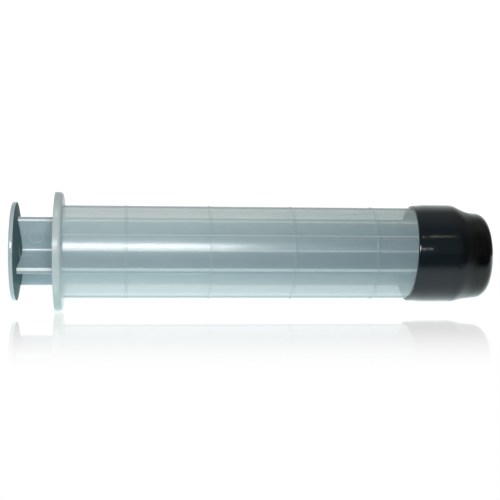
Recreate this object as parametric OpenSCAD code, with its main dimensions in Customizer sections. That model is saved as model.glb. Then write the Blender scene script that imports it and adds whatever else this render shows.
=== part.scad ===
// Hand-held meat injector: a clear barrel with a finger flange, a ribbed plunger with a rubber
// piston seal, a plate of short hollow needles, and a soft pull-off cap over the needles.
// The axis is X, with the needles towards +X. X is 0 at the finger flange's rear face.

/* [Barrel] */
// Inside diameter of the barrel
bore_d = 33.7; // [28:0.1:45]
// Thickness of the barrel's wall
wall_t = 1.65; // [1.2:0.05:3]
// Length of the barrel from the flange's rear face to its front end
barrel_len = 162.2; // [110:0.1:220]
// How far the finger flange stands out from the barrel
flange_reach = 5.3; // [3:0.1:15]
// Thickness of the finger flange
flange_t = 3.1; // [2:0.1:5]
// Volume between two graduation rings, in cubic millimetres (one US fluid ounce)
ring_volume = 29573.5; // [15000:0.5:30000]
// Width of a graduation ring
ring_w = 0.8; // [0.4:0.1:1.5]
// Height of a graduation ring above the wall
ring_h = 0.15; // [0.05:0.05:0.4]

/* [Plunger] */
// Diameter of the thumb disc
thumb_d = 39.7; // [36:0.1:50]
// Thickness of the thumb disc at its rim
thumb_t = 1.7; // [1.6:0.1:4]
// Depth of the hollow for the thumb, and of the bulge behind it
dish_depth = 2; // [0.5:0.1:3]
// Gap between the thumb disc and the finger flange when the plunger is fully in
thumb_gap = 15.1; // [8:0.1:30]
// Thickness of each rib
rib_t = 2.6; // [1.6:0.1:4]
// Radius of the fillets where the ribs meet
core_fillet = 1.4; // [0.5:0.1:3]
// Angle that the ribs are turned to, about the axis
rib_angle = 30; // [0:1:90]
// Diameter of the round ejector marks on the ribs
mark_d = 5.6; // [3:0.1:7]
// Distance from the thumb disc to the first ejector mark
mark_first = 7.8; // [6:0.1:12]

/* [Piston seal] */
// Length of the rubber piston seal
seal_len = 9.6; // [9:0.1:16]
// Number of sealing lips round the seal
lip_count = 3; // [2:1:3]
// Radius of each rounded lip
lip_r = 0.9; // [0.5:0.1:1.2]

/* [Needles] */
// Thickness of the needle plate
plate_t = 1.6; // [1.4:0.1:4]
// Length of a needle in front of the plate
needle_reach = 10.2; // [6:0.1:14]
// Outside diameter of a needle
needle_d = 2.1; // [1.6:0.1:2.6]
// Thickness of a needle's wall
needle_wall = 0.4; // [0.2:0.05:0.5]
// Radius of the inner circle of needles
inner_ring_r = 6; // [4.5:0.1:6.5]
// Distance from the outer circle of needles to the barrel's bore
outer_ring_in = 4.85; // [3.5:0.05:5]

/* [Cap] */
// Thickness of the cap's wall
cap_t = 1.3; // [1:0.05:2]
// Length of barrel that the cap covers
cap_overlap = 19.9; // [8:0.1:30]
// Space between the needle points and the inside of the cap's end
cap_tip_gap = 1.5; // [0.5:0.05:4]
// How much less the radius is where the cap has not been stretched over the barrel
cap_neck_in = 1.9; // [0.5:0.1:2.2]
// How much the radius tapers from there to the cap's rounded end
cap_taper = 0.6; // [0:0.1:1]
// Angle that the cap's open edge slants
cap_slant = 3; // [0:0.5:6]

/* [Clearances] */
// Radial gap between the barrel and the seal's lips
seal_gap = 0.05; // [0.02:0.01:0.1]
// Radial gap between the barrel and the cap
cap_gap = 0.1; // [0.05:0.01:0.3]
// Radial gap between the barrel and the ends of the ribs
rib_gap = 1.65; // [0.5:0.05:4]
// Gap all round between the plunger's head and its socket in the seal
head_gap = 0.1; // [0.05:0.01:0.2]
// Gap between the seal and the needle plate when the plunger is fully in
end_gap = 0.2; // [0.1:0.05:1]
// Radial gap between the needle plate and its recess
plate_gap = 0.05; // [0.02:0.01:0.1]

/* [Hidden] */
$fn = 96;
eps = 0.01;

// Barrel
bore_r = bore_d / 2;
barrel_r = bore_r + wall_t;
flange_r = barrel_r + flange_reach;
flange_round = min(1.4, flange_t / 2);
root_fillet = 0.8;
mouth_chamfer = 0.6;
nose_round = 1.2;
plate_seat = wall_t * 0.45;
chamber_end = barrel_len - plate_t;
ring_pitch = ring_volume / (PI * bore_r * bore_r);
ring_clear = 5;
ring_count = floor((chamber_end - flange_t - ring_clear) / ring_pitch);

// Needles: one at the centre, then an inner and an outer circle
inner_count = 5;
outer_count = 10;
needle_r = needle_d / 2;
needle_head_r = needle_r + 0.55;
needle_head_t = 0.5;
needle_bore = needle_d - 2 * needle_wall;
outer_ring_r = bore_r - outer_ring_in;
needle_point = 3;
point_tip_r = 0.08;
port_r = needle_bore * 0.35;
port_back = needle_point + 1;
boss_r = needle_r + 1.1;
boss_h = 2;
needle_tip = barrel_len + needle_reach;

// Cap
cap_in_r = barrel_r + cap_gap;
cap_neck_r = cap_in_r - cap_neck_in;
cap_mouth = barrel_len - cap_overlap;
cap_in_end = needle_tip + cap_tip_gap;
cap_corner = 2.5;
cap_step = 5.6;
cap_step_start = barrel_len - nose_round;
curve_steps = 16;

// Plunger and seal
seal_front = chamber_end - end_gap;
seal_rear = seal_front - seal_len;
lip_out_r = bore_r - seal_gap;
seal_body_r = lip_out_r - 0.9;
thumb_r = thumb_d / 2;
thumb_face = -thumb_gap;
thumb_back = thumb_face - thumb_t;
thumb_round = 0.6;
big_arc_fn = 720;
land_w = 2.6;
rib_r = bore_r - rib_gap;
rib_corner = 0.4;
push_disc_t = 2;
push_disc_r = rib_r + 0.4;
neck_r = 6;
lip_back_t = 2.6;
head_r = 9.5;
head_t = 2.6;
mark_depth = 0.15;
mark_shift = 3.4;
mark_pitch = 48;
mark_count = 4;

// Turns a shape made along Z so that it lies along X.
module along_x() rotate([0, 90, 0]) children();

// The material to cut away outside a corner of radius r, whose arc's centre is at p.
module corner_cut(p, r, dir_x, dir_y) {
    translate(p) difference() {
        translate([dir_x > 0 ? 0 : -2 * r, dir_y > 0 ? 0 : -2 * r]) square(2 * r);
        circle(r);
    }
}

// A square inside corner of radius r, with its right angle at p.
module fillet_2d(p, r, dir_x, dir_y) {
    translate(p) difference() {
        translate([dir_x > 0 ? -eps : -r, dir_y > 0 ? -eps : -r]) square(r + eps);
        translate([dir_x * r, dir_y * r]) circle(r);
    }
}

// Half of the barrel's section, with X as the radius and Y along the axis.
module barrel_section() {
    difference() {
        union() {
            translate([bore_r, 0]) square([wall_t, barrel_len]);
            translate([bore_r, 0]) square([flange_r - bore_r, flange_t]);
            fillet_2d([barrel_r, flange_t], root_fillet, 1, 1);
            for (i = [1 : ring_count])
                translate([bore_r + wall_t / 2, chamber_end - i * ring_pitch - ring_w / 2])
                    square([wall_t / 2 + ring_h, ring_w]);
        }
        corner_cut([flange_r - flange_round, flange_t - flange_round], flange_round, 1, 1);
        corner_cut([barrel_r - nose_round, barrel_len - nose_round], nose_round, 1, 1);
        translate([bore_r - 1, chamber_end]) square([1 + plate_seat, plate_t + 1]);
        polygon([[bore_r - eps, -eps], [bore_r + mouth_chamfer, -eps], [bore_r - eps, mouth_chamfer]]);
    }
}

module barrel() {
    color("lightsteelblue", 0.6) along_x() rotate_extrude() barrel_section();
}

// Where needle i stands, as [y, z]: 0 is the centre, then the inner and the outer circle.
function needle_at(i) =
    i == 0 ? [0, 0]
    : i <= inner_count ? let (a = i * 360 / inner_count) inner_ring_r * [cos(a), sin(a)]
    : let (a = (i - inner_count + 0.5) * 360 / outer_count) outer_ring_r * [cos(a), sin(a)];

needle_total = 1 + inner_count + outer_count;

module needle_plate() {
    color("lightsteelblue", 0.6) difference() {
        union() {
            translate([chamber_end, 0, 0]) along_x()
                cylinder(r = bore_r + plate_seat - plate_gap, h = plate_t);
            for (i = [0 : needle_total - 1])
                translate([barrel_len - eps, needle_at(i)[0], needle_at(i)[1]]) along_x()
                    cylinder(r = boss_r, h = boss_h + eps);
        }
        for (i = [0 : needle_total - 1])
            translate([chamber_end, needle_at(i)[0], needle_at(i)[1]]) along_x() {
                translate([0, 0, -1]) cylinder(r = needle_r, h = plate_t + boss_h + 2);
                translate([0, 0, -1]) cylinder(r = needle_head_r, h = 1 + needle_head_t);
            }
    }
}

// A hollow needle with a closed point, side ports behind the point and a head inside the plate.
module needle(i) {
    shaft = needle_tip - chamber_end - needle_point;
    color("silver") translate([chamber_end, needle_at(i)[0], needle_at(i)[1]]) along_x() difference() {
        union() {
            cylinder(r = needle_head_r, h = needle_head_t);
            cylinder(r = needle_r, h = shaft);
            translate([0, 0, shaft]) cylinder(r1 = needle_r, r2 = point_tip_r, h = needle_point);
        }
        translate([0, 0, -1]) cylinder(r = needle_bore / 2, h = shaft + 1);
        translate([0, 0, shaft + needle_point - port_back]) rotate([90, 0, 0])
            cylinder(r = port_r, h = 3 * needle_d, center = true);
    }
}

// Half of the cap's section: straight over the barrel, an S-shaped step, a taper, a rounded end.
// inset is 0 for the outside and cap_t for the inside.
module cap_outline(inset) {
    big = cap_in_r + cap_t - inset;
    small = cap_neck_r + cap_t - inset;
    far = cap_in_end + cap_t - inset;
    tip = small - cap_taper;
    corner = cap_corner + cap_t - inset;
    polygon(concat(
        [[0, cap_mouth - cap_t], [big, cap_mouth - cap_t]],
        [for (i = [0 : curve_steps]) let (s = i / curve_steps)
            [big + (small - big) * (1 - cos(180 * s)) / 2, cap_step_start + cap_step * s]],
        [for (i = [0 : curve_steps]) let (a = 90 * i / curve_steps)
            [tip - corner + corner * cos(a), far - corner + corner * sin(a)]],
        [[0, far]]
    ));
}

module protective_cap() {
    slab = 4 * barrel_r;
    color([0.08, 0.09, 0.1]) difference() {
        along_x() rotate_extrude() difference() {
            cap_outline(0);
            cap_outline(cap_t);
            translate([0, cap_mouth - 2 * cap_t]) square([cap_in_r, 2 * cap_t]);
        }
        translate([cap_mouth + cap_in_r * tan(cap_slant), 0, 0]) rotate([0, cap_slant, 0])
            translate([-slab, -slab / 2, -slab / 2]) cube(slab);
    }
}

module piston_seal() {
    lip_span = seal_len - 2 * lip_r;
    color([0.15, 0.15, 0.16]) translate([seal_rear, 0, 0]) along_x() difference() {
        union() {
            cylinder(r = seal_body_r, h = seal_len);
            for (i = [0 : lip_count - 1])
                translate([0, 0, lip_r + i * lip_span / (lip_count - 1)]) rotate_extrude()
                    translate([lip_out_r - lip_r, 0]) circle(lip_r, $fn = 48);
        }
        translate([0, 0, -1]) cylinder(r = neck_r + head_gap, h = lip_back_t + 2);
        translate([0, 0, lip_back_t]) cylinder(r = head_r + head_gap, h = head_t + 2 * head_gap);
    }
}

// The section of the rod: a cross with fillets at its core and small rounds at the rib ends.
module cross_section() {
    difference() {
        union() {
            for (a = [0, 90]) rotate(a) square([2 * rib_r, rib_t], center = true);
            for (a = [0 : 90 : 270]) rotate(a) fillet_2d([rib_t / 2, rib_t / 2], core_fillet, 1, 1);
        }
        for (a = [0 : 90 : 270], side = [-1, 1]) rotate(a)
            corner_cut([rib_r - rib_corner, side * (rib_t / 2 - rib_corner)], rib_corner, 1, side);
    }
}

// Shallow round marks on the two rib faces that face each other: [rib's angle, side, offset].
module ejector_marks() {
    for (m = [[0, -1, 0], [90, 1, -mark_shift]], i = [0 : mark_count - 1])
        translate([thumb_face + mark_first + m[2] + i * mark_pitch, 0, 0]) rotate([m[0], 0, 0])
            translate([0, m[1] * rib_t / 2, rib_r / 2]) rotate([90, 0, 0])
                cylinder(r = mark_d / 2, h = 2 * mark_depth, center = true);
}

// The ball that a round cap of radius r and height h belongs to.
function ball_r(r, h) = (r * r + h * h) / (2 * h);

// Half of the thumb disc's section, before the hollow is cut: a rounded rim and a bulged back.
module thumb_section() {
    bulge_ball = ball_r(thumb_r - thumb_round, dish_depth);
    difference() {
        square([thumb_r, thumb_t]);
        for (y = [thumb_round, thumb_t - thumb_round])
            corner_cut([thumb_r - thumb_round, y], thumb_round, 1, y - thumb_t / 2);
    }
    intersection() {
        translate([0, thumb_t + dish_depth - bulge_ball]) circle(bulge_ball, $fn = big_arc_fn);
        translate([0, thumb_t / 2]) square([thumb_r - thumb_round, thumb_t + dish_depth]);
    }
}

// Half of the section of the hollow for the thumb.
module hollow_section() {
    dish_ball = ball_r(thumb_r - land_w, dish_depth);
    intersection() {
        translate([0, dish_depth - dish_ball]) circle(dish_ball, $fn = big_arc_fn);
        translate([0, -1]) square([thumb_r, dish_depth + 2]);
    }
}

// The four ribs, from inside the thumb disc to the push disc.
module ribs() {
    rib_start = thumb_face - thumb_t / 2;
    difference() {
        translate([rib_start, 0, 0]) rotate([90, 0, 90])
            linear_extrude(seal_rear - push_disc_t / 2 - rib_start) cross_section();
        ejector_marks();
    }
}

module plunger_rod() {
    head_x = seal_rear + lip_back_t + head_gap;
    color("lightsteelblue", 0.8) difference() {
        union() {
            translate([thumb_back, 0, 0]) along_x() rotate_extrude() thumb_section();
            rotate([rib_angle, 0, 0]) ribs();
            translate([seal_rear - push_disc_t, 0, 0]) along_x()
                cylinder(r = push_disc_r, h = push_disc_t);
            translate([seal_rear - push_disc_t / 2, 0, 0]) along_x()
                cylinder(r = neck_r, h = lip_back_t + push_disc_t / 2 + head_t / 2);
            translate([head_x, 0, 0]) along_x() cylinder(r = head_r, h = head_t);
        }
        translate([thumb_back, 0, 0]) along_x() rotate_extrude() hollow_section();
    }
}

barrel();
needle_plate();
for (i = [0 : needle_total - 1])
    needle(i);
protective_cap();
piston_seal();
plunger_rod();
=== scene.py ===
import math

import bmesh
import bpy
from mathutils import Matrix, Vector, noise


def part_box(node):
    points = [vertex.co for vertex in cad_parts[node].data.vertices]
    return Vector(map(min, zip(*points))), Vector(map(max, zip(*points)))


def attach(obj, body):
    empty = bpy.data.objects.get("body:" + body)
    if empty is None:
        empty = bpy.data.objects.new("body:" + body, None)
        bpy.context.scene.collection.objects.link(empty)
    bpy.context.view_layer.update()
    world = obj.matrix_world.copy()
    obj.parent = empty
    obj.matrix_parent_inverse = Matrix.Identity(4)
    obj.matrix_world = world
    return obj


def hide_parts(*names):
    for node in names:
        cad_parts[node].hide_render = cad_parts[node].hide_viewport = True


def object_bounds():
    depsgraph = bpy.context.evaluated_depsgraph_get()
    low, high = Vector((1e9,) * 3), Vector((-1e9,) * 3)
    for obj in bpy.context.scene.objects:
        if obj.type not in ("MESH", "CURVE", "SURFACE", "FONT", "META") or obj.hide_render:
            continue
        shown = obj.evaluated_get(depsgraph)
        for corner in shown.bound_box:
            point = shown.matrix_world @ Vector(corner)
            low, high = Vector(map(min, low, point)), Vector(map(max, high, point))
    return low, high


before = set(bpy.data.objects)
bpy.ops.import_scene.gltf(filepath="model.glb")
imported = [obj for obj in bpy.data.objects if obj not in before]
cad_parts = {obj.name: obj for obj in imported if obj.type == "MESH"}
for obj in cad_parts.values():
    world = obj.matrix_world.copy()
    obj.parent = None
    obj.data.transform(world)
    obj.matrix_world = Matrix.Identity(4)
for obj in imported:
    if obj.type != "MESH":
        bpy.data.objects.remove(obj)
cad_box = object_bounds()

MM = 0.001
scene = bpy.context.scene

# ---------------------------------------------------------------- sizes from the frame
cap_low, cap_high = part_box("protective_cap")
rod_low, rod_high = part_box("plunger_rod")
barrel_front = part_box("barrel")[1][0]
cap_radius = cap_high[2]
floor_z = cad_box[0][2]
seal_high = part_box("piston_seal")[1]
plate_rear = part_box("needle_plate")[0][0]

# Sizes that the frame doesn't give, and those of marks that only the looks have
CAP_WALL = 1.3 * MM
CAP_GAP = 0.1 * MM
THUMB_THICK = 1.7 * MM
THUMB_ROUND = 0.6 * MM
DISH_DEPTH = 2.0 * MM
inside_radius = seal_high[2] + 0.3 * MM
barrel_radius = cap_radius - CAP_WALL - CAP_GAP
thumb_face = rod_low[0] + THUMB_THICK
dish_radius = rod_high[2] - THUMB_ROUND
rib_radius = 15.2 * MM
RIB_ANGLE = math.radians(30)
RIB_HALF = 1.3 * MM
RING_PITCH = 33.155 * MM
RING_HALF = 0.4 * MM
HIGHLIGHT_LINE_ANGLE = math.radians(21.5)
MARK_RADIUS = 2.8 * MM
MARK_FIRST = thumb_face + 7.8 * MM
MARK_SHIFT = 3.4 * MM
MARK_PITCH = 48 * MM


# ---------------------------------------------------------------- node helpers
class Nodes:
    """A small wrapper that adds and links shader nodes."""

    def __init__(self, tree):
        """Starts with an empty tree."""
        self.tree = tree
        tree.nodes.clear()

    def add(self, kind, settings=None, **inputs):
        """Adds a node with these settings, and sets or links the inputs that are named."""
        node = self.tree.nodes.new(kind)
        for name, value in (settings or {}).items():
            setattr(node, name, value)
        for name, value in inputs.items():
            self.put(node, name.replace("_", " "), value)
        return node

    def put(self, node, name, value):
        """Sets an input to a number or colour, or links it to a socket."""
        socket = node.inputs[int(name)] if name.isdigit() else node.inputs[name]
        if isinstance(value, bpy.types.NodeSocket):
            self.tree.links.new(value, socket)
        else:
            socket.default_value = value

    def math(self, operation, first, second=0.0):
        """One sum, such as MULTIPLY, on two values."""
        node = self.add("ShaderNodeMath", {"operation": operation})
        self.put(node, "0", first)
        self.put(node, "1", second)
        return node.outputs[0]

    def ramp(self, value, low, high, start=0.0, end=1.0, kind="SMOOTHSTEP"):
        """A step from low to high as value goes from start to end, smooth or straight."""
        node = self.add("ShaderNodeMapRange", {"interpolation_type": kind})
        for name, number in zip(("Value", "From Min", "From Max", "To Min", "To Max"),
                                (value, start, end, low, high)):
            self.put(node, name, number)
        return node.outputs[0]

    def mix_colour(self, factor, first, second):
        """The first colour at factor 0, and the second at 1."""
        node = self.add("ShaderNodeMix", {"data_type": "RGBA"})
        self.put(node, "0", factor)
        self.put(node, "6", first)
        self.put(node, "7", second)
        return node.outputs[2]

    def mix_shader(self, factor, first, second):
        """The first node's surface at factor 0, and the second's at 1."""
        node = self.add("ShaderNodeMixShader")
        self.put(node, "0", factor)
        self.put(node, "1", first.outputs[0])
        self.put(node, "2", second.outputs[0])
        return node

    def split(self, where):
        """The three parts of a vector."""
        return self.add("ShaderNodeSeparateXYZ", Vector=where).outputs[:3]

    def length(self, first, second):
        """The length of the vector with these two parts."""
        squares = self.math("ADD", self.math("MULTIPLY", first, first),
                            self.math("MULTIPLY", second, second))
        return self.math("SQRT", squares)

    def band(self, value, middle, full, faded):
        """1 within full of the middle value, and 0 beyond faded."""
        off = self.math("ABSOLUTE", self.math("SUBTRACT", value, middle))
        return self.ramp(off, 1.0, 0.0, full, faded)

    def mark(self, x, height, first):
        """The rings round a row of ejector marks, half way up a rib."""
        along = self.math("PINGPONG", self.math("SUBTRACT", x, first), MARK_PITCH / 2)
        up = self.math("SUBTRACT", height, rib_radius / 2)
        return self.band(self.length(along, up), MARK_RADIUS, 0.08 * MM, 0.24 * MM)

    def place(self, scale=(1, 1, 1)):
        """The object's own coordinates, stretched."""
        where = self.add("ShaderNodeTexCoord")
        stretch = self.add("ShaderNodeMapping", Scale=scale, Vector=where.outputs["Object"])
        return stretch.outputs[0]

    def noise(self, where, scale, detail=2.0, roughness=0.5):
        """Cloudy noise from 0 to 1, with scale lumps to a metre."""
        node = self.add("ShaderNodeTexNoise", Vector=where, Scale=scale, Detail=detail,
                        Roughness=roughness)
        return node.outputs["Fac"]

    def bump(self, height, distance, strength=1.0, normal=None):
        """A normal tilted by a height, on top of an earlier normal if there is one."""
        node = self.add("ShaderNodeBump", Height=height, Distance=distance, Strength=strength)
        if normal is not None:
            self.put(node, "Normal", normal)
        return node.outputs[0]


def new_material(name):
    """A new material and the helper for its nodes."""
    material = bpy.data.materials.new(name)
    material.use_nodes = True
    return material, Nodes(material.node_tree)


def rgb(red, green, blue):
    """An opaque colour, in linear values."""
    return (red, green, blue, 1.0)


# ---------------------------------------------------------------- materials
WHITE = rgb(1, 1, 1)


def clear_moulding(material, n, share, tint, colour, normal, shine, lobes):
    """Mixes clear and hazy plastic by share, with the gloss lobes over both.

    lobes lists the roughness of each lobe of gloss, and they share the shine equally.
    """
    clear = n.add("ShaderNodeBsdfTransparent", Color=tint)
    body = n.add("ShaderNodeBsdfPrincipled", Base_Color=colour, Roughness=0.6, Normal=normal)
    body.inputs["Specular IOR Level"].default_value = 0.0
    surface = n.mix_shader(share, clear, body)
    gloss = n.add("ShaderNodeBsdfAnisotropic", Color=WHITE, Normal=normal, Roughness=lobes[0])
    for rough in lobes[1:]:
        other = n.add("ShaderNodeBsdfAnisotropic", Color=WHITE, Normal=normal, Roughness=rough)
        gloss = n.mix_shader(0.5, gloss, other)
    facing = n.add("ShaderNodeLayerWeight", Blend=0.5, Normal=normal).outputs["Facing"]
    glare = n.ramp(n.math("POWER", facing, 5.0), 0.04, 1.0, kind="LINEAR")
    surface = n.mix_shader(n.math("MULTIPLY", glare, shine), surface, gloss)
    out = n.add("ShaderNodeOutputMaterial")
    n.put(out, "Surface", surface.outputs[0])
    return material


HAZE_DEEP = rgb(0.58, 0.75, 0.80)
HAZE_PALE = rgb(0.65, 0.81, 0.86)
HAZE_TURNED_AWAY = rgb(0.76, 0.85, 0.85)
HAZE_PAINTED_FALLOFF = rgb(0.20, 0.38, 0.44)
FLANGE_COLOUR = rgb(0.55, 0.65, 0.65)
RING_EDGE_SHADE = rgb(0.30, 0.40, 0.44)
HIGHLIGHT_LINE_COLOUR = rgb(0.90, 0.88, 0.80)
OUTLINE_COLOUR = rgb(0.20, 0.30, 0.32)
BARREL_TINT = rgb(0.95, 0.975, 0.97)


def barrel_plastic():
    """Thin frosted tube: smooth inside, finely grained outside, denser in the flange, with painted
    shade at its ring edges and towards the needle end, and a painted highlight line along it.
    """
    material, n = new_material("barrel_plastic")
    where = n.place()
    x, y, z = n.split(where)
    radius = n.length(y, z)
    cloud = n.noise(where, 60.0, 3.0)
    streaks = n.noise(n.place((0.06, 1, 1)), 900.0, 3.0, 0.6)
    grain = n.noise(where, 1500.0, 2.0, 0.7)

    outer = n.ramp(radius, 0.0, 1.0, inside_radius, inside_radius + 0.2 * MM)
    flange = n.ramp(radius, 0.0, 1.0, barrel_radius + 0.3 * MM, barrel_radius + 1.0 * MM)
    from_ring = n.math("PINGPONG", n.math("SUBTRACT", plate_rear, x), RING_PITCH / 2)
    ring = n.ramp(from_ring, 1.0, 0.0, RING_HALF - 0.1 * MM, RING_HALF + 0.15 * MM)
    ring_edge = n.band(from_ring, RING_HALF, 0.08 * MM, 0.2 * MM)
    # Painted highlight: a thin pale line along the barrel, at a fixed angle round it.
    across = n.math("ADD", n.math("MULTIPLY", z, math.cos(HIGHLIGHT_LINE_ANGLE)),
                    n.math("MULTIPLY", y, math.sin(HIGHLIGHT_LINE_ANGLE)))
    highlight_line = n.math("MULTIPLY", n.band(across, 0.0, 0.1 * MM, 0.3 * MM),
                     n.math("SUBTRACT", outer, flange))

    facing = n.add("ShaderNodeLayerWeight", Blend=0.5).outputs["Facing"]
    rim = n.math("MULTIPLY", n.ramp(facing, 0.0, 1.0, 0.62, 0.76),
                 n.math("SUBTRACT", outer, flange))
    share = n.ramp(facing, 0.36, 0.58, 0.05, 0.45)
    share = n.math("MULTIPLY", share, n.ramp(streaks, 0.95, 1.05))
    share = n.math("MULTIPLY", share, outer)
    share = n.math("MAXIMUM", share, n.math("MULTIPLY", flange, 0.86))
    share = n.math("MAXIMUM", share, n.math("MULTIPLY", ring_edge, 0.5))
    share = n.math("MAXIMUM", share, n.math("MULTIPLY", highlight_line, 0.5))
    share = n.math("MAXIMUM", share, n.math("MULTIPLY", rim, 0.7))
    colour = n.mix_colour(cloud, HAZE_DEEP, HAZE_PALE)
    colour = n.mix_colour(n.ramp(facing, 0.0, 1.0, 0.05, 0.35), colour, HAZE_TURNED_AWAY)
    # Painted shade: the haze darkens towards the needle end, standing in for the front light
    # falling off.
    colour = n.mix_colour(n.ramp(x, 0.0, 0.3, 0.03, 0.17), colour, HAZE_PAINTED_FALLOFF)
    colour = n.mix_colour(flange, colour, FLANGE_COLOUR)
    # Painted shade: the edges of the raised rings are tinted darker.
    colour = n.mix_colour(n.math("MULTIPLY", ring_edge, 0.3), colour, RING_EDGE_SHADE)
    colour = n.mix_colour(n.math("MULTIPLY", highlight_line, 0.8), colour, HIGHLIGHT_LINE_COLOUR)
    colour = n.mix_colour(n.math("MULTIPLY", rim, 0.85), colour, OUTLINE_COLOUR)

    normal = n.bump(grain, 0.05 * MM, 0.6)
    normal = n.bump(streaks, 0.02 * MM, 0.1, normal)
    normal = n.bump(ring, 0.12 * MM, 1.0, normal)
    shine = n.math("SUBTRACT", n.ramp(outer, 0.04, 1.35), n.math("MULTIPLY", flange, 0.8))
    shine = n.math("SUBTRACT", shine, n.math("MULTIPLY", rim, 0.75))
    lobes = (n.ramp(grain, 0.28, 0.40, 0.25, 0.75), 0.19)
    return clear_moulding(material, n, share, BARREL_TINT, colour, normal, shine, lobes)


ROD_DEEP = rgb(0.42, 0.55, 0.59)
ROD_PALE = rgb(0.46, 0.60, 0.64)
ROD_PAINTED_GLOW = rgb(0.85, 0.92, 0.92)
ROD_SHADED = rgb(0.03, 0.08, 0.12)
ROD_PAINTED_FALLOFF = rgb(0.03, 0.09, 0.13)
THUMB_FACE_SHADE = rgb(0.06, 0.11, 0.12)
THUMB_RIM_COLOUR = rgb(0.46, 0.53, 0.55)
EDGE_HIGHLIGHT_COLOUR = rgb(0.95, 1.0, 1.0)
MARK_HIGHLIGHT_COLOUR = rgb(0.9, 1.0, 1.0)
ROD_TINT = rgb(0.72, 0.82, 0.85)


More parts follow.
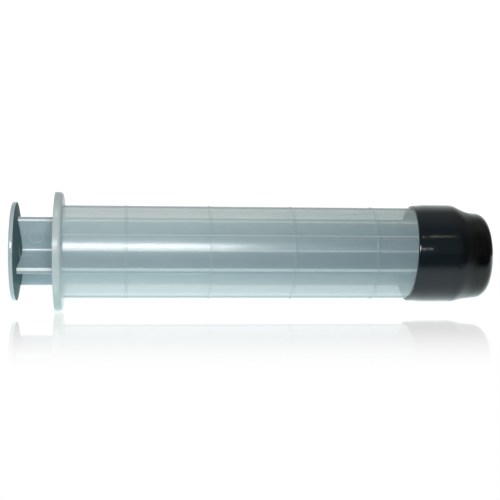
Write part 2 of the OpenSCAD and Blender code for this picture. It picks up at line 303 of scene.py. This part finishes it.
def rod_plastic():
    """Denser moulded plastic, with painted highlights on its rib edges and round its ejector
    marks, a painted glow inside the barrel, and painted shade on the thumb face and towards the
    needle end.
    """
    material, n = new_material("plunger_plastic")
    where = n.place()
    x, y, z = n.split(where)
    radius = n.length(y, z)
    along_first = n.math("ADD", n.math("MULTIPLY", y, math.cos(RIB_ANGLE)),
                         n.math("MULTIPLY", z, math.sin(RIB_ANGLE)))
    along_second = n.math("SUBTRACT", n.math("MULTIPLY", z, math.cos(RIB_ANGLE)),
                          n.math("MULTIPLY", y, math.sin(RIB_ANGLE)))
    u = n.math("ABSOLUTE", along_first)
    v = n.math("ABSOLUTE", along_second)
    far = n.math("MAXIMUM", u, v)
    # Painted highlight: masks for the rib ends, their sides and the fillets at the core.
    end = n.ramp(far, 0.0, 1.0, rib_radius - 0.8 * MM, rib_radius - 0.5 * MM)
    side = n.ramp(n.math("MINIMUM", u, v), 0.0, 1.0, RIB_HALF - 0.75 * MM, RIB_HALF - 0.45 * MM)
    core = n.ramp(far, 0.7, 0.0, RIB_HALF + 0.5 * MM, RIB_HALF + 1.0 * MM)
    cloud = n.noise(where, 60.0, 3.0)
    grain = n.noise(where, 1200.0, 2.0, 0.6)
    flow = n.noise(n.place((0.05, 1, 1)), 500.0, 3.0, 0.6)

    out = n.math("DIVIDE", radius, dish_radius)
    sag = n.ramp(n.math("MULTIPLY", out, out), DISH_DEPTH, 0.0, kind="LINEAR")
    depth = n.math("SUBTRACT", n.math("SUBTRACT", x, thumb_face), sag)
    disc = n.ramp(depth, 1.0, 0.0, 0.1 * MM, 0.35 * MM)
    rim = n.ramp(radius, 0.0, 1.0, rod_high[2] - 0.4 * MM, rod_high[2] - 0.15 * MM)
    rim = n.math("MULTIPLY", rim, disc)
    front = n.ramp(depth, 0.0, 1.0, -0.8 * MM, -0.4 * MM)
    face = n.math("MULTIPLY", n.math("SUBTRACT", disc, rim), front)
    # Painted shade: the highlight is dimmed on the lower ribs, less so in a band near x = 0.03 m.
    lower = n.math("LESS_THAN", along_second, 0.0)
    dull = n.math("SUBTRACT", 0.75, n.math("MULTIPLY", n.band(x, 0.03, 0.028, 0.036), 0.65))
    lit = n.math("SUBTRACT", 1.0, n.math("MULTIPLY", lower, dull))
    upper = n.math("MULTIPLY", n.band(along_second, 0.5 * MM, 0.2 * MM, 0.4 * MM), end)
    edge_highlight = n.math("MAXIMUM", n.math("MULTIPLY", n.math("MULTIPLY", end, side), lit), core)
    edge_highlight = n.math("MAXIMUM", edge_highlight, upper)
    edge_highlight = n.math("MULTIPLY", edge_highlight, n.math("SUBTRACT", 1.0, disc))
    marks = n.math("MAXIMUM", n.mark(x, along_second, MARK_FIRST),
                   n.mark(x, n.math("MULTIPLY", along_first, -1.0), MARK_FIRST - MARK_SHIFT))

    colour = n.mix_colour(n.ramp(cloud, 0.0, 1.0, 0.3, 0.7), ROD_DEEP, ROD_PALE)
    # Painted light: inside the barrel the rod is painted paler, for the glow of the lit haze
    # around it.
    covered = n.ramp(x, 0.0, 1.0, -1 * MM, 5 * MM)
    colour = n.mix_colour(n.math("MULTIPLY", covered, 0.35), colour, ROD_PAINTED_GLOW)
    shaded = n.math("MULTIPLY", n.ramp(v, 1.0, 0.0, RIB_HALF + 0.1 * MM, RIB_HALF + 0.4 * MM),
                    n.math("SUBTRACT", 1.0, disc))
    shaded = n.math("MULTIPLY", shaded, n.ramp(covered, 0.16, 0.56))
    colour = n.mix_colour(shaded, colour, ROD_SHADED)
    # Painted shade: the rod darkens towards the needle end, standing in for the front light
    # falling off.
    colour = n.mix_colour(n.ramp(x, 0.0, 0.55, 0.02, 0.18), colour, ROD_PAINTED_FALLOFF)
    # Painted shade: the thumb disc's inner face is painted dark, as it is turned away from the
    # front light.
    colour = n.mix_colour(n.math("MULTIPLY", face, 0.9), colour, THUMB_FACE_SHADE)
    colour = n.mix_colour(n.math("MULTIPLY", rim, 0.5), colour, THUMB_RIM_COLOUR)
    # Painted highlight along the rib edges.
    colour = n.mix_colour(n.math("MULTIPLY", edge_highlight, 0.9), colour, EDGE_HIGHLIGHT_COLOUR)
    # Painted highlight: the rings round the real ejector marks are drawn pale.
    colour = n.mix_colour(n.math("MULTIPLY", marks, 0.18), colour, MARK_HIGHLIGHT_COLOUR)
    share = n.math("MAXIMUM", n.ramp(flow, 0.80, 0.88), n.math("MULTIPLY", edge_highlight, 0.95))
    share = n.math("MAXIMUM", share, disc)
    faces = n.add("ShaderNodeNewGeometry").outputs
    middle = n.math("MULTIPLY", disc, n.ramp(radius, 1.0, 0.0, 4 * MM, 7 * MM))
    normal = n.add("ShaderNodeMix", {"data_type": "VECTOR"}, Factor=middle)
    n.put(normal, "4", faces["Normal"])
    n.put(normal, "5", faces["True Normal"])
    normal = n.bump(grain, 0.02 * MM, 0.25, normal.outputs[1])
    normal = n.bump(flow, 0.04 * MM, 0.3, normal)
    shine = n.math("SUBTRACT", 1.0, n.math("MULTIPLY", face, 0.9))
    lobes = (n.ramp(grain, 0.09, 0.16, 0.25, 0.75),)
    return clear_moulding(material, n, share, ROD_TINT, colour, normal, shine, lobes)


VINYL_DEEP = rgb(0.003, 0.003, 0.003)
VINYL_PALE = rgb(0.005, 0.005, 0.005)
VINYL_STRETCHED = rgb(0.009, 0.015, 0.019)
DUST_COLOUR = rgb(0.25, 0.27, 0.27)
VINYL_IOR = 1.54


def vinyl():
    """Soft black dip-moulded vinyl: greyer where it is stretched, with scuffs and dust."""
    material, n = new_material("cap_vinyl")
    where = n.place()
    x = n.split(where)[0]
    cloud = n.noise(where, 110.0, 4.0, 0.6)
    around = n.noise(n.place((1, 0.08, 0.08)), 700.0, 2.0, 0.6)
    specks = n.ramp(n.noise(where, 420.0, 1.0), 0.0, 1.0, 0.76, 0.8)
    stretched = n.ramp(x, 1.0, 0.0, barrel_front - 6 * MM, barrel_front + 4 * MM)
    base = n.mix_colour(n.ramp(cloud, 0.0, 1.0, 0.3, 0.7), VINYL_DEEP, VINYL_PALE)
    greyed = n.math("MULTIPLY", stretched, n.ramp(cloud, 0.8, 1.0))
    base = n.mix_colour(greyed, base, VINYL_STRETCHED)
    base = n.mix_colour(n.math("MULTIPLY", specks, 0.25), base, DUST_COLOUR)
    crease = n.band(x, barrel_front + 3.4 * MM, 0.6 * MM, 4.0 * MM)
    rough = n.math("ADD", n.ramp(cloud, 0.10, 0.17, 0.3, 0.7), n.math("MULTIPLY", specks, 0.2))
    rough = n.math("ADD", rough, n.math("MULTIPLY", crease, 0.2))
    normal = n.bump(cloud, 0.08 * MM, 0.12)
    normal = n.bump(around, 0.015 * MM, 0.2, normal)
    body = n.add("ShaderNodeBsdfPrincipled", Base_Color=base, Roughness=rough, Normal=normal)
    body.inputs["IOR"].default_value = VINYL_IOR
    out = n.add("ShaderNodeOutputMaterial")
    n.put(out, "Surface", body.outputs[0])
    return material


RUBBER_DEEP = rgb(0.012, 0.012, 0.013)
RUBBER_BLOOM = rgb(0.030, 0.030, 0.031)


def rubber():
    """Smooth black rubber with a faint bloom."""
    material, n = new_material("seal_rubber")
    where = n.place()
    cloud = n.noise(where, 180.0, 4.0, 0.6)
    base = n.mix_colour(n.ramp(cloud, 0.0, 1.0, 0.3, 0.7), RUBBER_DEEP, RUBBER_BLOOM)
    normal = n.bump(n.noise(where, 2500.0, 2.0), 0.02 * MM, 0.4)
    body = n.add("ShaderNodeBsdfPrincipled", Base_Color=base, Normal=normal,
                 Roughness=n.ramp(cloud, 0.38, 0.55, 0.3, 0.7))
    out = n.add("ShaderNodeOutputMaterial")
    n.put(out, "Surface", body.outputs[0])
    return material


STEEL_DEEP = rgb(0.50, 0.51, 0.52)
STEEL_PALE = rgb(0.66, 0.67, 0.68)


def steel():
    """Drawn stainless tube: fine lines along its length."""
    material, n = new_material("needle_steel")
    lines = n.noise(n.place((0.03, 1, 1)), 6000.0, 3.0, 0.6)
    base = n.mix_colour(lines, STEEL_DEEP, STEEL_PALE)
    normal = n.bump(lines, 0.01 * MM, 0.4)
    body = n.add("ShaderNodeBsdfPrincipled", Base_Color=base, Normal=normal,
                 Roughness=n.ramp(lines, 0.16, 0.3))
    body.inputs["Metallic"].default_value = 1.0
    out = n.add("ShaderNodeOutputMaterial")
    n.put(out, "Surface", body.outputs[0])
    return material


def dress(node, material):
    """Gives a CAD node's object one material."""
    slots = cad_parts[node].data.materials
    slots.clear()
    slots.append(material)


# ---------------------------------------------------------------- the soft cap
CAP_SLANT = math.radians(3.0)
CAP_DROOP = 0.85 * MM
CAP_NECK_IN = 1.8 * MM
CAP_TAPER = 0.6 * MM
CAP_CORNER = 4.6 * MM
CAP_LIP_IN = 0.35 * MM
CAP_STEP = 7.2 * MM
CAP_STEP_BACK = 2.0 * MM
CAP_SWELL = 0.2 * MM
CAP_LUMPS_ALONG = 90
CAP_LUMPS_ROUND = 1.3
CAP_LIP_LENGTH = 7 * MM

# Where along the cap, as shares of its length, the slant ends and the loose part begins
SLANT_END = 0.45
LOOSE_START = 0.5
LOOSE_FULL = 0.7
DROOP_FULL = 0.85

# How many pieces each stretch of the cap's outline is cut into
CAP_STEPS_ROUND = 160
STRAIGHT_STEPS = 26
STEP_STEPS = 24
CORNER_STEPS = 14
END_STEPS = 7
LIP_STEPS = 8


def smooth(value, start, end):
    """0 before start, 1 after end, and a smooth step between."""
    t = min(max((value - start) / (end - start), 0.0), 1.0)
    return t * t * (3 - 2 * t)


def cap_outline():
    """The cap's outer profile as (distance from the mouth, radius), from mouth to centre."""
    length = cap_high[0] - cap_low[0]
    step = barrel_front - cap_low[0] - CAP_STEP_BACK
    tip = cap_radius - CAP_NECK_IN - CAP_TAPER
    points = []
    for i in range(STRAIGHT_STEPS + 1):
        x = CAP_WALL / 2 + (step - CAP_WALL / 2) * i / STRAIGHT_STEPS
        points.append((x, cap_radius - CAP_LIP_IN * (1 - smooth(x, 0, CAP_LIP_LENGTH))))
    x_corner = length - CAP_CORNER
    for i in range(1, STEP_STEPS + 1):
        t = i / STEP_STEPS
        x = step + (x_corner - step) * t
        neck_in = CAP_NECK_IN * smooth(x, step, step + CAP_STEP)
        points.append((x, cap_radius - neck_in - CAP_TAPER * t * math.sqrt(t)))
    for i in range(1, CORNER_STEPS + 1):
        a = math.radians(90 * i / CORNER_STEPS)
        points.append((x_corner + CAP_CORNER * math.sin(a), tip - CAP_CORNER * (1 - math.cos(a))))
    flat = tip - CAP_CORNER
    for i in range(1, END_STEPS):
        points.append((length, flat * (1 - i / END_STEPS)))
    return points


def cap_place(distance, radius, angle, inward=0.0):
    """A point of the cap: radius and angle about the axis, at a distance from the mouth.

    The mouth slants, and the loose front part droops and swells a little.
    """
    length = cap_high[0] - cap_low[0]
    slant = math.tan(CAP_SLANT) * (radius * math.cos(angle) + cap_radius)
    x = cap_low[0] + distance + slant * (1 - smooth(distance, 0, SLANT_END * length))
    droop = CAP_DROOP * smooth(distance, LOOSE_START * length, DROOP_FULL * length)
    lump = noise.noise(Vector((x * CAP_LUMPS_ALONG, CAP_LUMPS_ROUND * math.cos(angle),
                               CAP_LUMPS_ROUND * math.sin(angle))))
    loose = smooth(distance, LOOSE_START * length, LOOSE_FULL * length)
    swell = lump * CAP_SWELL * loose
    r = max(radius + swell - inward, 0.0)
    return (x, r * math.sin(angle), r * math.cos(angle) - droop)


def make_cap():
    """The dip-moulded cap: an outer and an inner skin joined by a rounded lip."""
    outline = cap_outline()
    mesh = bmesh.new()

    def ring(distance, radius, inward):
        """The vertices once round the cap."""
        turn = 2 * math.pi / CAP_STEPS_ROUND
        return [mesh.verts.new(cap_place(distance, radius, turn * k, inward))
                for k in range(CAP_STEPS_ROUND)]

    rings = []
    inner_end = cap_high[0] - cap_low[0] - CAP_WALL
    for distance, radius in reversed(outline):
        if radius > CAP_WALL and distance <= inner_end + CAP_WALL:
            rings.append(ring(min(distance, inner_end), radius, CAP_WALL))
    lip = CAP_WALL / 2
    lip_radius = cap_radius - CAP_LIP_IN - lip
    for i in range(1, LIP_STEPS):
        a = math.pi * i / LIP_STEPS
        rings.append(ring(lip - lip * math.sin(a), lip_radius - lip * math.cos(a), 0.0))
    for distance, radius in outline:
        rings.append(ring(distance, radius, 0.0))
    for first, second in zip(rings, rings[1:]):
        for k in range(CAP_STEPS_ROUND):
            j = (k + 1) % CAP_STEPS_ROUND
            mesh.faces.new((first[k], first[j], second[j], second[k]))
    for end in (rings[0], rings[-1]):
        mesh.faces.new(end)
    bmesh.ops.recalc_face_normals(mesh, faces=mesh.faces)
    data = bpy.data.meshes.new("soft_cap")
    mesh.to_mesh(data)
    mesh.free()
    for face in data.polygons:
        face.use_smooth = True
    cap = bpy.data.objects.new("soft_cap", data)
    scene.collection.objects.link(cap)
    return cap


# ---------------------------------------------------------------- stage
FLOOR_HALF = 6.0
FRONT_AIM = Vector((0.02, 0, 0))
FRONT_DISTANCE = 0.30
FRONT_UP = math.radians(14.3)
FRONT_SIZE = (0.15, 0.055)
WARM_PLACE = (0.248, -0.387, 0.318)
WARM_SIZE = (0.08, 0.012)
SIDE_PLACE = (0.208, -0.47, 0.09)
SIDE_SIZE = (0.02, 0.03)
FRONT_RADIANCE = 25.0
WARM_RADIANCE = 7.0
SIDE_RADIANCE = 8.0
WARM_COLOUR = (1.0, 0.90, 0.62)
SHEET_COLOUR = rgb(0.88, 1.0, 1.02)
ROOM_COLOUR = rgb(0.95, 1.0, 1.0)


def make_floor():
    """A wide pale sheet, glossy near the object and bright only close to it.

    Seen directly it is white. To the object it is a bright sheet that soon fades away.
    """
    material, n = new_material("pale_floor")
    y = n.split(n.add("ShaderNodeTexCoord").outputs["Object"])[1]
    share = n.math("MULTIPLY", n.ramp(y, 0.0, 0.38, -0.22, -0.04), n.ramp(y, 1.0, 0.0, 0.05, 0.16))
    facing = n.add("ShaderNodeLayerWeight", Blend=0.5).outputs["Facing"]
    share = n.math("MULTIPLY", share, n.ramp(facing, 0.25, 1.0, 0.55, 0.93))
    seen = n.add("ShaderNodeLightPath").outputs["Is Camera Ray"]
    lit = n.math("ADD", n.ramp(y, 0.02, 0.78, -0.062, -0.028), n.ramp(y, 0.0, 0.7, -0.016, 0.004))
    sheet = n.add("ShaderNodeEmission", Color=SHEET_COLOUR, Strength=lit)
    white = n.add("ShaderNodeEmission", Color=WHITE, Strength=1.0)
    mirror = n.add("ShaderNodeBsdfAnisotropic", Color=WHITE, Roughness=0.03)
    shown = n.mix_shader(share, white, mirror)
    both = n.mix_shader(seen, sheet, shown)
    out = n.add("ShaderNodeOutputMaterial")
    n.put(out, "Surface", both.outputs[0])

    mesh = bmesh.new()
    bmesh.ops.create_grid(mesh, x_segments=8, y_segments=8, size=FLOOR_HALF)
    data = bpy.data.meshes.new("floor")
    mesh.to_mesh(data)
    mesh.free()
    floor = bpy.data.objects.new("floor", data)
    floor.location = (0, 0, floor_z)
    floor.data.materials.append(material)
    scene.collection.objects.link(floor)
    return floor


def make_world():
    """White behind the object, with a darker room on the camera's side for its reflections."""
    world = bpy.data.worlds.new("studio")
    scene.world = world
    world.use_nodes = True
    n = Nodes(world.node_tree)
    x, y, z = n.split(n.add("ShaderNodeTexCoord").outputs["Generated"])
    level = n.math("ADD", n.ramp(y, 0.08, 0.27, -0.6, 0.0), n.ramp(y, 0.0, 0.8, 0.3, 1.0))
    level = n.math("MULTIPLY", level, n.ramp(x, 1.0, 0.4, 0.3, 0.95))
    room = n.add("ShaderNodeBackground", Color=ROOM_COLOUR, Strength=level)
    white = n.add("ShaderNodeBackground", Color=WHITE, Strength=1.05)
    both = n.mix_shader(n.add("ShaderNodeLightPath").outputs["Is Camera Ray"], room, white)
    out = n.add("ShaderNodeOutputWorld")
    n.put(out, "Surface", both.outputs[0])


def area_light(unlit, name, place, target, size, radiance, colour=(1, 1, 1)):
    """A rectangular soft light at a place, aimed at a target, that leaves the floor unlit."""
    data = bpy.data.lights.new(name, "AREA")
    data.shape = "RECTANGLE"
    data.size, data.size_y = size
    data.energy = radiance * math.pi * size[0] * size[1]
    data.color = colour
    light = bpy.data.objects.new(name, data)
    light.location = place
    light.visible_camera = False
    light.light_linking.receiver_collection = unlit
    light.rotation_euler = (Vector(target) - Vector(place)).to_track_quat("-Z", "Y").to_euler()
    scene.collection.objects.link(light)


def make_lights(floor):
    """A soft light in front of the barrel, and two dim ones that put streaks on the cap.

    The floor is left out of their light, so it doesn't mirror the lights themselves.
    """
    unlit = bpy.data.collections.new("unlit")
    unlit.objects.link(floor)
    unlit.collection_objects[0].light_linking.link_state = "EXCLUDE"
    place = FRONT_AIM + FRONT_DISTANCE * Vector((0, -math.cos(FRONT_UP), math.sin(FRONT_UP)))
    area_light(unlit, "front_soft", place, FRONT_AIM, FRONT_SIZE, FRONT_RADIANCE)
    lip = (cap_low[0], -cap_radius, 0)
    area_light(unlit, "warm_edge", WARM_PLACE, lip, WARM_SIZE, WARM_RADIANCE, WARM_COLOUR)
    area_light(unlit, "side_soft", SIDE_PLACE, lip, SIDE_SIZE, SIDE_RADIANCE)


def make_camera():
    """The viewing angle: level, a little from the thumb's side, and slightly rolled."""
    azimuth, elevation, roll = math.radians(-6.0), math.radians(0.5), math.radians(0.33)
    target = Vector((0.078, 0, 0.001))
    distance = 0.469
    place = target + distance * Vector((math.sin(azimuth) * math.cos(elevation),
                                        -math.cos(azimuth) * math.cos(elevation),
                                        math.sin(elevation)))
    data = bpy.data.cameras.new("camera")
    data.lens = 83.1
    data.sensor_width = 36.0
    data.clip_start = 0.01
    camera = bpy.data.objects.new("camera", data)
    camera.location = place
    facing = (target - place).to_track_quat("-Z", "Y").to_matrix()
    turn = facing.to_3x3() @ Vector((0, 0, 1))
    camera.rotation_euler = (Matrix.Rotation(roll, 3, turn) @ facing).to_euler()
    scene.collection.objects.link(camera)
    scene.camera = camera


# ---------------------------------------------------------------- build
make_camera()
make_world()
make_lights(make_floor())
scene.view_settings.view_transform = "Standard"

clear_barrel = barrel_plastic()
clear_rod = rod_plastic()
dress("barrel", clear_barrel)
dress("needle_plate", clear_barrel)
dress("plunger_rod", clear_rod)
dress("piston_seal", rubber())
drawn_steel = steel()
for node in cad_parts:
    if node.startswith("needle_") and node != "needle_plate":
        dress(node, drawn_steel)

cap = make_cap()
cap.data.materials.append(vinyl())
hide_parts("protective_cap")
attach(cap, "cap")
